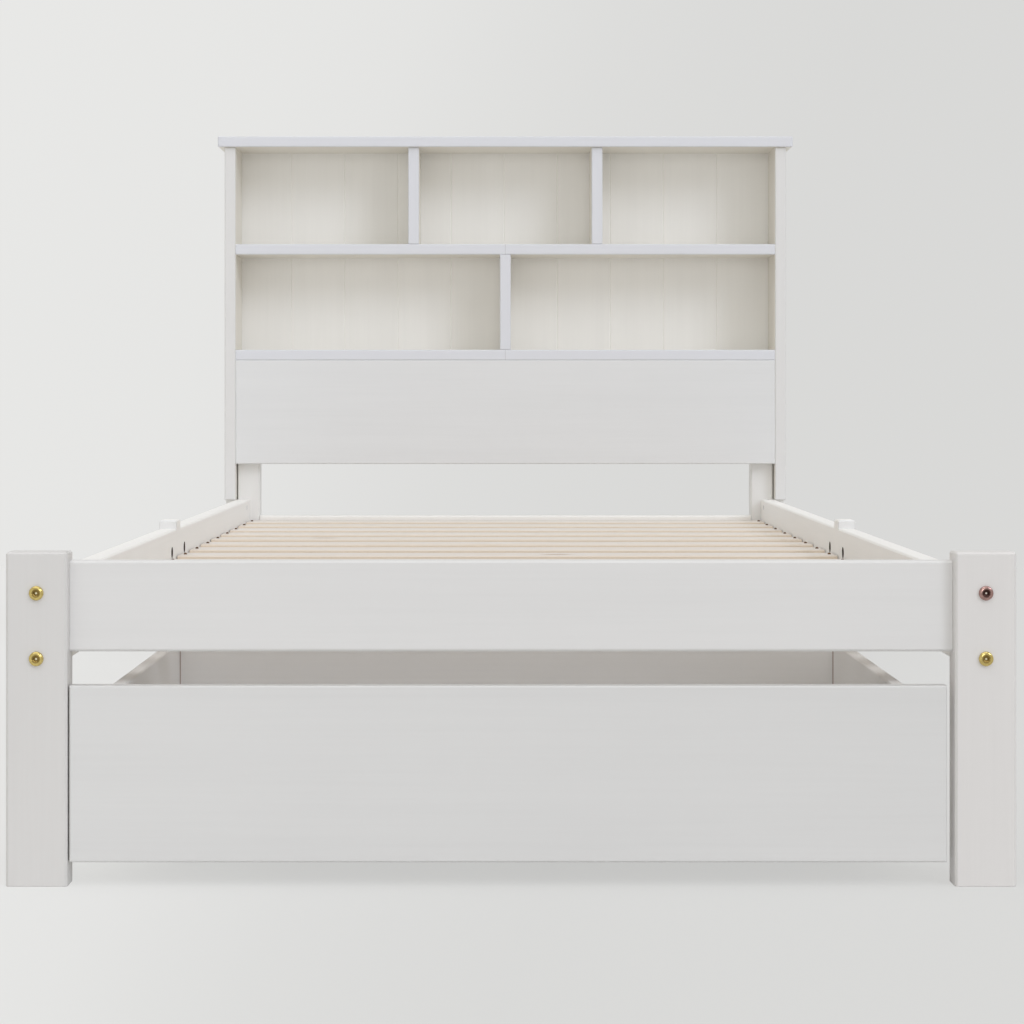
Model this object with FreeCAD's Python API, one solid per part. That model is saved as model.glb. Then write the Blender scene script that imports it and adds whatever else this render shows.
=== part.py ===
import FreeCAD, Part

import math
import os

# Bookcase headboard bed for a king single mattress, all sizes in millimetres.
# +X is to the right seen from the foot, +Y runs from the foot to the headboard, +Z is up.
# The origin is on the floor, under the middle of the bed's overall box.

# Mattress and the room left around it
MATTRESS_WIDTH = 1070.0
MATTRESS_LENGTH = 2030.0
MATTRESS_SIDE_ROOM = 7.4
MATTRESS_END_ROOM = 5.0

# Posts and rails of the bed frame
LEG_WIDTH = 72.0
LEG_THICKNESS = 35.0
LEG_HEIGHT = 392.0
RAIL_HEIGHT = 107.0
SIDE_RAIL_THICKNESS = 28.0
END_RAIL_THICKNESS = 22.0
FOOT_RAIL_DROP = 11.0
SIDE_RAIL_DROP = 33.0
MID_LEG_LENGTH = 42.0
MID_LEG_RISE = 14.0
EASED_EDGE = 2.5

# Slatted base
SLAT_COUNT = 15
SLAT_WIDTH = 75.0
SLAT_THICKNESS = 19.0
SLAT_DROP = 44.0
SLAT_END_GAP = 2.0
SLAT_SIDE_GAP = 4.5
SLAT_EASED_EDGE = 2.0
LEDGER_WIDTH = 20.0
LEDGER_HEIGHT = 22.0
LEDGER_END_GAP = 6.0
HEAD_RAIL_RISE = 10.0

# Bookcase headboard
CASE_DEPTH = 130.0
BOARD_THICKNESS = 22.0
UPRIGHT_THICKNESS = 23.0
PANEL_GAP = 110.0
PANEL_HEIGHT = 219.0
LOWER_BAY_HEIGHT = 201.0
UPPER_BAY_HEIGHT = 204.5
CAP_SIDE_OVERHANG = 13.6
CAP_FRONT_OVERHANG = 7.0
POST_CASE_GAP = 2.0
BOARD_EASED_EDGE = 1.5
HOUSING_DEPTH = 6.0
DIVIDER_HOUSING_DEPTH = 3.0
HOUSING_STOP = 12.0

# Tongued and grooved back boards with a V joint on the face
BACK_BOARD_PITCH = 115.0
BACK_BOARD_SHIFT = -2.5
BACK_BOARD_THICKNESS = 10.0
BACK_BOARD_JOINT_GAP = 0.1
BACK_BOARD_LEAST_RIP = 20.0
BACK_REBATE_WIDTH = 8.0
TONGUE_LENGTH = 4.5
TONGUE_THICKNESS = 3.2
TONGUE_CLEARANCE = 0.3
V_JOINT_DEPTH = 1.2

# Loose drawer on castors, which stands a little to the left
DRAWER_SHIFT = -3.5
DRAWER_FRONT_GAP = 5.4
DRAWER_FRONT_RECESS = 2.0
DRAWER_FRONT_BOTTOM = 28.0
DRAWER_FRONT_TOP = 235.0
DRAWER_FRONT_THICKNESS = 18.0
DRAWER_SIDE_INSET = 47.0
DRAWER_SIDE_THICKNESS = 16.0
DRAWER_INNER_LENGTH = 447.0
DRAWER_FLOOR_THICKNESS = 6.0
DRAWER_FLOOR_GROOVE = 7.0
DRAWER_FLOOR_ROOM = 1.0
DRAWER_HOUSING_DEPTH = 6.0
DRAWER_HOUSING_STOP = 12.0
DRAWER_BACK_REBATE = 8.0
BEARER_WIDTH = 45.0
BEARER_HEIGHT = 14.0

# Castors
WHEEL_RADIUS = 18.0
WHEEL_WIDTH = 17.0
WHEEL_SIDE_CLEARANCE = 0.5
AXLE_RADIUS = 2.5
AXLE_CLEARANCE = 0.05
AXLE_END_PROUD = 1.0
FORK_THICKNESS = 2.0
FORK_TOP_CLEARANCE = 4.0
FORK_EYE_RADIUS = 7.0
FORK_PLATE_WIDTH = 50.0
FORK_PLATE_LENGTH = 38.0
CASTOR_SIDE_INSET = 60.0
CASTOR_END_INSET = 120.0

# Rail bolts with button heads and their cross dowels
BOLT_RADIUS = 3.0
BOLT_CLEARANCE = 0.25
THREAD_CLEARANCE = 0.05
BOLT_LENGTH = 88.0
BOLT_HEAD_RADIUS = 8.5
BOLT_HEAD_HEIGHT = 3.8
BOLT_HEAD_EDGE = 1.2
BOLT_CROWN_RADIUS = 5.0
BOLT_SOCKET_SIDES = 6
BOLT_SOCKET_FLATS = 5.0
BOLT_SOCKET_DEPTH = 2.6
BOLT_SPACING = 77.0
CROSS_DOWEL_RADIUS = 5.0
CROSS_DOWEL_CLEARANCE = 0.1
CROSS_DOWEL_LENGTH = 22.0
CROSS_DOWEL_REACH = 46.0

# Rods that tie the two halves of each side rail to the middle leg
ROD_DROP = 36.0
ROD_REACH = 49.0
ROD_END = 8.0
POCKET_RADIUS = 9.0
POCKET_DEPTH = 21.0
HALF_NUT_LENGTH = 14.0
HALF_NUT_CLEARANCE = 0.15

# Tenons: glued ones between the end rails and the legs, stubs between the side rails and middle legs
TENON_LENGTH = 24.0
TENON_THICKNESS = 10.0
TENON_SHOULDER = 14.0
TENON_END_ROOM = 1.0
STUB_TENON_LENGTH = 12.0
STUB_TENON_THICKNESS = 12.0
STUB_TENON_HEIGHT = 28.0

# Bores and barrel nuts that stay out of sight are drawn with flats round their true circle
HIDDEN_ROUND_FLATS = 12
# Points closer than this lie in one plane or line
NEARLY = 0.01

# Planes that the pieces share
INNER_X = MATTRESS_WIDTH / 2 + MATTRESS_SIDE_ROOM
RAIL_X = INNER_X + SIDE_RAIL_THICKNESS / 2
RAIL_OUTER_X = INNER_X + SIDE_RAIL_THICKNESS
LEG_INNER_X = RAIL_X - LEG_WIDTH / 2
LEG_OUTER_X = RAIL_X + LEG_WIDTH / 2
CASE_INNER_X = LEG_OUTER_X - UPRIGHT_THICKNESS
POST_OUTER_X = CASE_INNER_X - POST_CASE_GAP

BED_BAY = MATTRESS_LENGTH + 2 * MATTRESS_END_ROOM
OVERALL_LENGTH = BOLT_HEAD_HEIGHT + LEG_THICKNESS + BED_BAY + CASE_DEPTH
FOOT_FACE_Y = BOLT_HEAD_HEIGHT - OVERALL_LENGTH / 2
FOOT_BACK_Y = FOOT_FACE_Y + LEG_THICKNESS
CASE_FRONT_Y = FOOT_BACK_Y + BED_BAY
CASE_BACK_Y = CASE_FRONT_Y + CASE_DEPTH
POST_FRONT_Y = CASE_FRONT_Y + BOARD_THICKNESS
POST_BACK_Y = POST_FRONT_Y + LEG_THICKNESS
BACK_BOARD_Y = CASE_BACK_Y - BACK_BOARD_THICKNESS
MID_LEG_Y = FOOT_BACK_Y + BED_BAY / 2

FOOT_RAIL_TOP = LEG_HEIGHT - FOOT_RAIL_DROP
SIDE_RAIL_TOP = LEG_HEIGHT - SIDE_RAIL_DROP
SIDE_RAIL_BOTTOM = SIDE_RAIL_TOP - RAIL_HEIGHT
BOLT_HEIGHTS = [
    SIDE_RAIL_TOP - RAIL_HEIGHT / 2 - BOLT_SPACING / 2,
    SIDE_RAIL_TOP - RAIL_HEIGHT / 2 + BOLT_SPACING / 2,
]
ROD_HEIGHT = SIDE_RAIL_TOP - ROD_DROP
SLAT_TOP = SIDE_RAIL_TOP - SLAT_DROP
SLAT_BOTTOM = SLAT_TOP - SLAT_THICKNESS
HEAD_RAIL_TOP = SLAT_TOP + HEAD_RAIL_RISE
FOOT_RAIL_Y = FOOT_BACK_Y - END_RAIL_THICKNESS / 2
HEAD_RAIL_Y = POST_FRONT_Y + END_RAIL_THICKNESS / 2

PANEL_BOTTOM = HEAD_RAIL_TOP + PANEL_GAP
BOTTOM_SHELF_Z = PANEL_BOTTOM + PANEL_HEIGHT
MIDDLE_SHELF_Z = BOTTOM_SHELF_Z + BOARD_THICKNESS + LOWER_BAY_HEIGHT
CAP_Z = MIDDLE_SHELF_Z + BOARD_THICKNESS + UPPER_BAY_HEIGHT

DRAWER_BACK_OF_FRONT_Y = FOOT_FACE_Y + DRAWER_FRONT_RECESS + DRAWER_FRONT_THICKNESS
DRAWER_BACK_Y = DRAWER_BACK_OF_FRONT_Y + DRAWER_INNER_LENGTH
DRAWER_END_Y = DRAWER_BACK_Y + DRAWER_SIDE_THICKNESS
DRAWER_FRONT_HALF = LEG_INNER_X - DRAWER_FRONT_GAP
DRAWER_HALF = DRAWER_FRONT_HALF - DRAWER_SIDE_INSET
DRAWER_INNER_HALF = DRAWER_HALF - DRAWER_SIDE_THICKNESS
FORK_PLATE_Z = 2 * WHEEL_RADIUS + FORK_TOP_CLEARANCE
BEARER_Z = FORK_PLATE_Z + FORK_THICKNESS
DRAWER_FLOOR_Z = BEARER_Z + BEARER_HEIGHT
FORK_INNER_HALF = WHEEL_WIDTH / 2 + WHEEL_SIDE_CLEARANCE
FORK_OUTER_HALF = FORK_INNER_HALF + FORK_THICKNESS
AXLE_BORE = AXLE_RADIUS + AXLE_CLEARANCE

X_AXIS = FreeCAD.Vector(1, 0, 0)
Y_AXIS = FreeCAD.Vector(0, 1, 0)
Z_AXIS = FreeCAD.Vector(0, 0, 1)
SIDES = {"left": -1, "right": 1}


def board(x_span, y_span, z_span):
    """A squared board between two planes on each axis, given in any order."""
    low = FreeCAD.Vector(min(x_span), min(y_span), min(z_span))
    high = FreeCAD.Vector(max(x_span), max(y_span), max(z_span))
    size = high - low
    return Part.makeBox(size.x, size.y, size.z, low)


def ease(shape, size, *tests):
    """Takes the sharp corner off each straight edge that passes all the tests."""
    edges = []
    for edge in shape.Edges:
        if len(edge.Vertexes) == 2 and isinstance(edge.Curve, Part.Line):
            ends = [vertex.Point for vertex in edge.Vertexes]
            if all(test(*ends) for test in tests):
                edges.append(edge)
    return shape.makeChamfer(size, edges)


def runs_along(axis):
    """A test for the edges that run along one axis."""
    return lambda start, end: (end - start).cross(axis).Length < NEARLY


def lies_in(axis, level):
    """A test for the edges that lie in the plane at one level of an axis."""
    return lambda start, end: max(abs(start.dot(axis) - level), abs(end.dot(axis) - level)) < NEARLY


def meets(axis, level):
    """A test for the edges that reach the plane at one level of an axis."""
    return lambda start, end: min(abs(start.dot(axis) - level), abs(end.dot(axis) - level)) < NEARLY


def clear_of(axis, level):
    """A test for the edges that don't lie in the plane at one level of an axis."""
    within = lies_in(axis, level)
    return lambda start, end: not within(start, end)


def rod(radius, start, axis, length):
    """A round rod or the hole for one."""
    return Part.makeCylinder(radius, length, start, axis)


def prism(across_corners, flats, start, axis, length):
    """A regular prism on a round rod's place."""
    points = []
    for index in range(flats + 1):
        turn = 2 * math.pi * (index + 0.5) / flats
        points.append(FreeCAD.Vector(math.cos(turn), math.sin(turn), 0) * (across_corners / 2))
    shape = Part.Face(Part.makePolygon(points)).extrude(Z_AXIS * length)
    shape.Placement = FreeCAD.Placement(start, FreeCAD.Rotation(Z_AXIS, axis))
    return shape


def hidden_round(radius, start, axis, length):
    """A bore or a barrel that stays out of sight: flats that touch the true circle."""
    corners = 2 * radius / math.cos(math.pi / HIDDEN_ROUND_FLATS)
    return prism(corners, HIDDEN_ROUND_FLATS, start, axis, length)


# ---- Joints: one place says where each bolt and tenon is ----

def end_bolt_points(y):
    """Where the rail bolts of one end pass the plane at y."""
    return [FreeCAD.Vector(side * RAIL_X, y, z) for side in SIDES.values() for z in BOLT_HEIGHTS]


def bolt_bores(shape, y):
    """Bores one leg, whose front is at y, for its rail bolts."""
    for point in end_bolt_points(y):
        shape = shape.cut(hidden_round(BOLT_RADIUS + BOLT_CLEARANCE, point, Y_AXIS, LEG_THICKNESS))
    return shape


def end_rail_tenon(y, top, side, end_room):
    """Tenon of an end rail in one leg, or with end room the mortise for it."""
    half = TENON_THICKNESS / 2
    return board(
        (side * LEG_INNER_X, side * (LEG_INNER_X + TENON_LENGTH + end_room)),
        (y - half, y + half),
        (top - RAIL_HEIGHT + TENON_SHOULDER, top - TENON_SHOULDER),
    )


def stub_tenon(side, end, end_room):
    """Stub of a side rail in the middle leg, below the rod, or with end room the mortise for it."""
    half_x = STUB_TENON_THICKNESS / 2
    half_z = STUB_TENON_HEIGHT / 2
    face = MID_LEG_LENGTH / 2
    middle = (SIDE_RAIL_BOTTOM + ROD_HEIGHT - POCKET_RADIUS) / 2
    return board(
        (side * RAIL_X - half_x, side * RAIL_X + half_x),
        (MID_LEG_Y + end * face, MID_LEG_Y + end * (face - STUB_TENON_LENGTH - end_room)),
        (middle - half_z, middle + half_z),
    )


# ---- Bed frame ----

def foot_leg(side):
    """Foot post with eased edges, bored for two rail bolts and mortised for the foot rail."""
    post = board(
        (side * LEG_INNER_X, side * LEG_OUTER_X), (FOOT_FACE_Y, FOOT_BACK_Y), (0, LEG_HEIGHT)
    )
    post = ease(post, EASED_EDGE, meets(Z_AXIS, LEG_HEIGHT))
    post = post.cut(end_rail_tenon(FOOT_RAIL_Y, FOOT_RAIL_TOP, side, TENON_END_ROOM))
    return bolt_bores(post, FOOT_FACE_Y)


def head_leg(side):
    """Head post: full width below the bookcase, then narrowed by a shoulder for the side board."""
    foot = board(
        (side * LEG_INNER_X, side * LEG_OUTER_X), (POST_FRONT_Y, POST_BACK_Y), (0, SIDE_RAIL_TOP)
    )
    stem = board(
        (side * LEG_INNER_X, side * POST_OUTER_X), (POST_FRONT_Y, POST_BACK_Y), (0, BOTTOM_SHELF_Z)
    )
    post = ease(foot.fuse(stem).removeSplitter(), EASED_EDGE, runs_along(Z_AXIS))
    post = post.cut(end_rail_tenon(HEAD_RAIL_Y, HEAD_RAIL_TOP, side, TENON_END_ROOM))
    return bolt_bores(post, POST_FRONT_Y)


def end_rail(y, top):
    """Rail across one end of the bed, tenoned into its legs."""
    half = END_RAIL_THICKNESS / 2
    rail = board((-LEG_INNER_X, LEG_INNER_X), (y - half, y + half), (top - RAIL_HEIGHT, top))
    rail = ease(rail, EASED_EDGE, runs_along(X_AXIS))
    return rail.fuse([end_rail_tenon(y, top, side, 0) for side in SIDES.values()]).removeSplitter()


def side_rail(side, end):
    """Half of a side rail: end -1 is the half at the foot, 1 the half at the headboard."""
    outer_y = FOOT_BACK_Y if end < 0 else POST_FRONT_Y
    mid_y = MID_LEG_Y + end * MID_LEG_LENGTH / 2
    rail = board(
        (side * INNER_X, side * RAIL_OUTER_X), (outer_y, mid_y), (SIDE_RAIL_BOTTOM, SIDE_RAIL_TOP)
    )
    rail = ease(rail, EASED_EDGE, runs_along(Y_AXIS))
    rail = rail.fuse(stub_tenon(side, end, 0)).removeSplitter()
    inward = Y_AXIS * -end
    into_rail = X_AXIS * side
    bore = BOLT_RADIUS + BOLT_CLEARANCE
    seat_radius = CROSS_DOWEL_RADIUS + CROSS_DOWEL_CLEARANCE
    for z in BOLT_HEIGHTS:
        mouth = FreeCAD.Vector(side * RAIL_X, outer_y, z)
        rail = rail.cut(hidden_round(bore, mouth, inward, BOLT_LENGTH - LEG_THICKNESS + BOLT_RADIUS))
        seat = FreeCAD.Vector(side * INNER_X, outer_y - end * CROSS_DOWEL_REACH, z)
        rail = rail.cut(hidden_round(seat_radius, seat, into_rail, CROSS_DOWEL_LENGTH))
    rod_mouth = FreeCAD.Vector(side * RAIL_X, mid_y, ROD_HEIGHT)
    rail = rail.cut(hidden_round(bore, rod_mouth, Y_AXIS * end, ROD_REACH + ROD_END))
    pocket = FreeCAD.Vector(side * INNER_X, mid_y + end * ROD_REACH, ROD_HEIGHT)
    return rail.cut(rod(POCKET_RADIUS, pocket, into_rail, POCKET_DEPTH))


def mid_leg(side):
    """Post in the middle of a side rail, a little taller than the rail and as thick."""
    half = MID_LEG_LENGTH / 2
    top = SIDE_RAIL_TOP + MID_LEG_RISE
    post = board((side * INNER_X, side * RAIL_OUTER_X), (MID_LEG_Y - half, MID_LEG_Y + half), (0, top))
    post = ease(post, EASED_EDGE, lies_in(Z_AXIS, top))
    mouth = FreeCAD.Vector(side * RAIL_X, MID_LEG_Y - half, ROD_HEIGHT)
    post = post.cut(hidden_round(BOLT_RADIUS + BOLT_CLEARANCE, mouth, Y_AXIS, MID_LEG_LENGTH))
    return post.cut([stub_tenon(side, end, TENON_END_ROOM) for end in (-1, 1)])


def slat_ledger(side):
    """Two battens along one side rail, one on each half, which carry the slats' ends."""
    half = MID_LEG_LENGTH / 2
    spans = (
        (FOOT_BACK_Y + LEDGER_END_GAP, MID_LEG_Y - half),
        (MID_LEG_Y + half, POST_FRONT_Y - LEDGER_END_GAP),
    )
    x_span = (side * INNER_X, side * (INNER_X - LEDGER_WIDTH))
    battens = []
    for span in spans:
        batten = board(x_span, span, (SLAT_BOTTOM - LEDGER_HEIGHT, SLAT_BOTTOM))
        battens.append(ease(batten, SLAT_EASED_EDGE, runs_along(Y_AXIS)))
    return Part.makeCompound(battens)


def slat_centres():
    """Middle of each slat, from the foot rail to the head rail."""
    first = FOOT_BACK_Y + SLAT_SIDE_GAP + SLAT_WIDTH / 2
    last = POST_FRONT_Y - SLAT_SIDE_GAP - SLAT_WIDTH / 2
    pitch = (last - first) / (SLAT_COUNT - 1)
    return [first + pitch * index for index in range(SLAT_COUNT)]


def slat(y):
    """Planed pine slat with eased long edges."""
    reach = INNER_X - SLAT_END_GAP
    half = SLAT_WIDTH / 2
    blank = board((-reach, reach), (y - half, y + half), (SLAT_BOTTOM, SLAT_TOP))
    return ease(blank, SLAT_EASED_EDGE, runs_along(X_AXIS))


# ---- Bookcase headboard ----

def shelf_blank(z):
    """Shelf whose ends sit in the side boards' housings, with the front corners notched."""
    body = board((-CASE_INNER_X, CASE_INNER_X), (CASE_FRONT_Y, BACK_BOARD_Y), (z, z + BOARD_THICKNESS))
    reach = CASE_INNER_X + HOUSING_DEPTH
    tenon = board((-reach, reach), (CASE_FRONT_Y + HOUSING_STOP, BACK_BOARD_Y), (z, z + BOARD_THICKNESS))
    shelf = body.fuse(tenon).removeSplitter()
    return ease(shelf, BOARD_EASED_EDGE, lies_in(Y_AXIS, CASE_FRONT_Y))


def housing(x, z_face, inward):
    """Stopped groove in a shelf's face for the end of an upright: inward is 1 up, -1 down."""
    half = UPRIGHT_THICKNESS / 2
    floor = z_face + inward * DIVIDER_HOUSING_DEPTH
    return board((x - half, x + half), (CASE_FRONT_Y + HOUSING_STOP, BACK_BOARD_Y), (z_face, floor))


def upper_divider_places():
    """Middles of the two upper dividers, which make three bays of one width."""
    count = len(SIDES)
    bay = (2 * CASE_INNER_X - count * UPRIGHT_THICKNESS) / (count + 1)
    return {name: side * (bay + UPRIGHT_THICKNESS) / 2 for name, side in SIDES.items()}


def divider(x, z_low, z_high):
    """Upright between two shelves, with both ends in housings and the front corners notched."""
    half = UPRIGHT_THICKNESS / 2
    face = board((x - half, x + half), (CASE_FRONT_Y, BACK_BOARD_Y), (z_low, z_high))
    tenon = board(
        (x - half, x + half),
        (CASE_FRONT_Y + HOUSING_STOP, BACK_BOARD_Y),
        (z_low - DIVIDER_HOUSING_DEPTH, z_high + DIVIDER_HOUSING_DEPTH),
    )
    upright = face.fuse(tenon).removeSplitter()
    return ease(upright, BOARD_EASED_EDGE, lies_in(Y_AXIS, CASE_FRONT_Y))


def side_middle(side):
    """Middle of one side board's thickness."""
    return side * (CASE_INNER_X + UPRIGHT_THICKNESS / 2)


def side_board(side):
    """Side of the bookcase: housed for the shelves and the lower panel, rebated for the back boards."""
    upright = board(
        (side * CASE_INNER_X, side * LEG_OUTER_X), (CASE_FRONT_Y, CASE_BACK_Y), (SIDE_RAIL_TOP, CAP_Z)
    )
    upright = ease(upright, BOARD_EASED_EDGE, lies_in(Y_AXIS, CASE_FRONT_Y))
    upright = upright.fuse(housing(side_middle(side), CAP_Z, 1)).removeSplitter()
    rebate = board(
        (side * CASE_INNER_X, side * (CASE_INNER_X + BACK_REBATE_WIDTH)),
        (BACK_BOARD_Y, CASE_BACK_Y),
        (BOTTOM_SHELF_Z, CAP_Z),
    )
    upright = upright.cut(rebate)
    for z in (BOTTOM_SHELF_Z, MIDDLE_SHELF_Z):
        groove = board(
            (side * CASE_INNER_X, side * (CASE_INNER_X + HOUSING_DEPTH)),
            (CASE_FRONT_Y + HOUSING_STOP, BACK_BOARD_Y),
            (z, z + BOARD_THICKNESS),
        )
        upright = upright.cut(groove)
    return upright.cut(panel_tongue(side))


def top_cap():
    """Cap over the bookcase with eased edges, housed below for the side boards and upper dividers."""
    reach = LEG_OUTER_X + CAP_SIDE_OVERHANG
    front = CASE_FRONT_Y - CAP_FRONT_OVERHANG
    cap = board((-reach, reach), (front, CASE_BACK_Y), (CAP_Z, CAP_Z + BOARD_THICKNESS))
    cap = ease(cap, BOARD_EASED_EDGE, clear_of(Y_AXIS, CASE_BACK_Y))
    uprights = [side_middle(side) for side in SIDES.values()]
    uprights += upper_divider_places().values()
    for x in uprights:
        cap = cap.cut(housing(x, CAP_Z, 1))
    return cap


def middle_shelf():
    """Shelf between the two rows of bays, housed above and below for the dividers."""
    shelf = shelf_blank(MIDDLE_SHELF_Z)
    for x in upper_divider_places().values():
        shelf = shelf.cut(housing(x, MIDDLE_SHELF_Z + BOARD_THICKNESS, -1))
    return shelf.cut(housing(0, MIDDLE_SHELF_Z, 1))


def bottom_shelf():
    """Shelf on the head posts, housed above for the lower divider."""
    return shelf_blank(BOTTOM_SHELF_Z).cut(housing(0, BOTTOM_SHELF_Z + BOARD_THICKNESS, -1))


def panel_tongue(side):
    """Tongue along one end of the lower panel, and the groove for it in the side board."""
    return board(
        (side * CASE_INNER_X, side * (CASE_INNER_X + HOUSING_DEPTH)),
        (CASE_FRONT_Y + HOUSING_STOP, POST_FRONT_Y),
        (PANEL_BOTTOM, BOTTOM_SHELF_Z),
    )


def lower_panel():
    """Plain board under the bookcase, in front of the head posts, tongued into the side boards."""
    panel = board(
        (-CASE_INNER_X, CASE_INNER_X), (CASE_FRONT_Y, POST_FRONT_Y), (PANEL_BOTTOM, BOTTOM_SHELF_Z)
    )
    panel = ease(panel, BOARD_EASED_EDGE, lies_in(Y_AXIS, CASE_FRONT_Y))
    return panel.fuse([panel_tongue(side) for side in SIDES.values()]).removeSplitter()


def back_board_section(x_left, x_right, tongued, grooved):
    """Plan outline of one back board: V joint on the face, tongue to the right, groove to the left."""
    face = BACK_BOARD_Y
    back = CASE_BACK_Y
    middle = (face + back) / 2
    tongue = TONGUE_THICKNESS / 2
    slot = tongue + TONGUE_CLEARANCE
    slot_end = x_left + TONGUE_LENGTH + TONGUE_CLEARANCE
    left = [(x_left, back), (x_left, face)]
    right = [(x_right, face), (x_right, back)]
    if grooved:
        left = [
            (x_left, back), (x_left, middle + slot), (slot_end, middle + slot),
            (slot_end, middle - slot), (x_left, middle - slot),
            (x_left, face + V_JOINT_DEPTH), (x_left + V_JOINT_DEPTH, face),
        ]
    if tongued:
        tip = x_right + TONGUE_LENGTH
        right = [
            (x_right - V_JOINT_DEPTH, face), (x_right, face + V_JOINT_DEPTH),
            (x_right, middle - tongue), (tip, middle - tongue),
            (tip, middle + tongue), (x_right, middle + tongue), (x_right, back),
        ]
    return left + right


def back_boards():
    """Upright boards from the bottom shelf to the cap; the two end ones are ripped to the rebates."""
    edge = CASE_INNER_X + BACK_REBATE_WIDTH
    gap = BACK_BOARD_JOINT_GAP / 2
    joints = [BACK_BOARD_SHIFT]
    while joints[-1] + BACK_BOARD_PITCH < edge - BACK_BOARD_LEAST_RIP:
        joints.append(joints[-1] + BACK_BOARD_PITCH)
    while joints[0] - BACK_BOARD_PITCH > BACK_BOARD_LEAST_RIP - edge:
        joints.insert(0, joints[0] - BACK_BOARD_PITCH)
    boards = []
    for index in range(len(joints) + 1):
        first = index == 0
        last = index == len(joints)
        x_left = -edge if first else joints[index - 1] + gap
        x_right = edge if last else joints[index] - gap
        outline = back_board_section(x_left, x_right, not last, not first)
        points = [FreeCAD.Vector(x, y, BOTTOM_SHELF_Z) for x, y in outline + outline[:1]]
        face = Part.Face(Part.makePolygon(points))
        boards.append(face.extrude(Z_AXIS * (CAP_Z - BOTTOM_SHELF_Z)))
    return Part.makeCompound(boards)


# ---- Drawer ----

def drawer_x(half):
    """The two planes at half a width each side of the drawer's middle."""
    return (DRAWER_SHIFT - half, DRAWER_SHIFT + half)


def drawer_tongue(side):
    """Front end of one side in its housing in the drawer front, stopped below the top."""
    return board(
        (DRAWER_SHIFT + side * DRAWER_INNER_HALF, DRAWER_SHIFT + side * DRAWER_HALF),
        (DRAWER_BACK_OF_FRONT_Y - DRAWER_HOUSING_DEPTH, DRAWER_BACK_OF_FRONT_Y),
        (BEARER_Z, DRAWER_FRONT_TOP - DRAWER_HOUSING_STOP),
    )


def floor_groove():
    """Space for the drawer floor's edges in the four walls."""
    reach = DRAWER_FLOOR_GROOVE
    return board(
        drawer_x(DRAWER_INNER_HALF + reach),
        (DRAWER_BACK_OF_FRONT_Y - reach, DRAWER_BACK_Y + reach),
        (DRAWER_FLOOR_Z, DRAWER_FLOOR_Z + DRAWER_FLOOR_THICKNESS),
    )


def drawer_front():
    """Flush front across the gap between the foot legs, reaching nearly to the floor."""
    front = board(
        drawer_x(DRAWER_FRONT_HALF),
        (FOOT_FACE_Y + DRAWER_FRONT_RECESS, DRAWER_BACK_OF_FRONT_Y),
        (DRAWER_FRONT_BOTTOM, DRAWER_FRONT_TOP),
    )
    front = ease(front, BOARD_EASED_EDGE, lies_in(Y_AXIS, FOOT_FACE_Y + DRAWER_FRONT_RECESS))
    return front.cut([floor_groove()] + [drawer_tongue(side) for side in SIDES.values()])


def drawer_side(side):
    """Side of the drawer: housed in the front, grooved for the floor, rebated for the back."""
    inner = DRAWER_SHIFT + side * DRAWER_INNER_HALF
    outer = DRAWER_SHIFT + side * DRAWER_HALF
    wall = board((inner, outer), (DRAWER_BACK_OF_FRONT_Y, DRAWER_END_Y), (BEARER_Z, DRAWER_FRONT_TOP))
    wall = ease(wall, BOARD_EASED_EDGE, lies_in(Z_AXIS, DRAWER_FRONT_TOP), runs_along(Y_AXIS))
    wall = wall.fuse(drawer_tongue(side)).removeSplitter()
    return wall.cut([floor_groove(), back_blank()])


def back_blank():
    """Back of the drawer before its edges are worked, which fills the sides' rebates."""
    reach = DRAWER_INNER_HALF + DRAWER_BACK_REBATE
    return board(drawer_x(reach), (DRAWER_BACK_Y, DRAWER_END_Y), (BEARER_Z, DRAWER_FRONT_TOP))


def drawer_back():
    """Back of the drawer, in the rebates of the sides and grooved for the floor."""
    wall = ease(back_blank(), BOARD_EASED_EDGE, lies_in(Z_AXIS, DRAWER_FRONT_TOP), runs_along(X_AXIS))
    return wall.cut(floor_groove())


def drawer_floor():
    """Thin panel held in the grooves of the four walls."""
    reach = DRAWER_FLOOR_GROOVE - DRAWER_FLOOR_ROOM
    return board(
        drawer_x(DRAWER_INNER_HALF + reach),
        (DRAWER_BACK_OF_FRONT_Y - reach, DRAWER_BACK_Y + reach),
        (DRAWER_FLOOR_Z, DRAWER_FLOOR_Z + DRAWER_FLOOR_THICKNESS),
    )


def castor_rows():
    """Y of the front and rear castors."""
    return {
        "front": DRAWER_BACK_OF_FRONT_Y + CASTOR_END_INSET,
        "rear": DRAWER_BACK_Y - CASTOR_END_INSET,
    }


def castor_points():
    """Axle middle of each castor, by name."""
    x = DRAWER_INNER_HALF - CASTOR_SIDE_INSET
    points = {}
    for row, y in castor_rows().items():
        for name, side in SIDES.items():
            points[row + "_" + name] = FreeCAD.Vector(DRAWER_SHIFT + side * x, y, WHEEL_RADIUS)
    return points


def drawer_bearers():
    """Two battens under the floor that carry the castors."""
    bearers = []
    for y in castor_rows().values():
        span = (y - BEARER_WIDTH / 2, y + BEARER_WIDTH / 2)
        bearer = board(drawer_x(DRAWER_INNER_HALF), span, (BEARER_Z, DRAWER_FLOOR_Z))
        bearers.append(ease(bearer, SLAT_EASED_EDGE, lies_in(Z_AXIS, BEARER_Z), runs_along(X_AXIS)))
    return Part.makeCompound(bearers)


# ---- Castors ----

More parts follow.
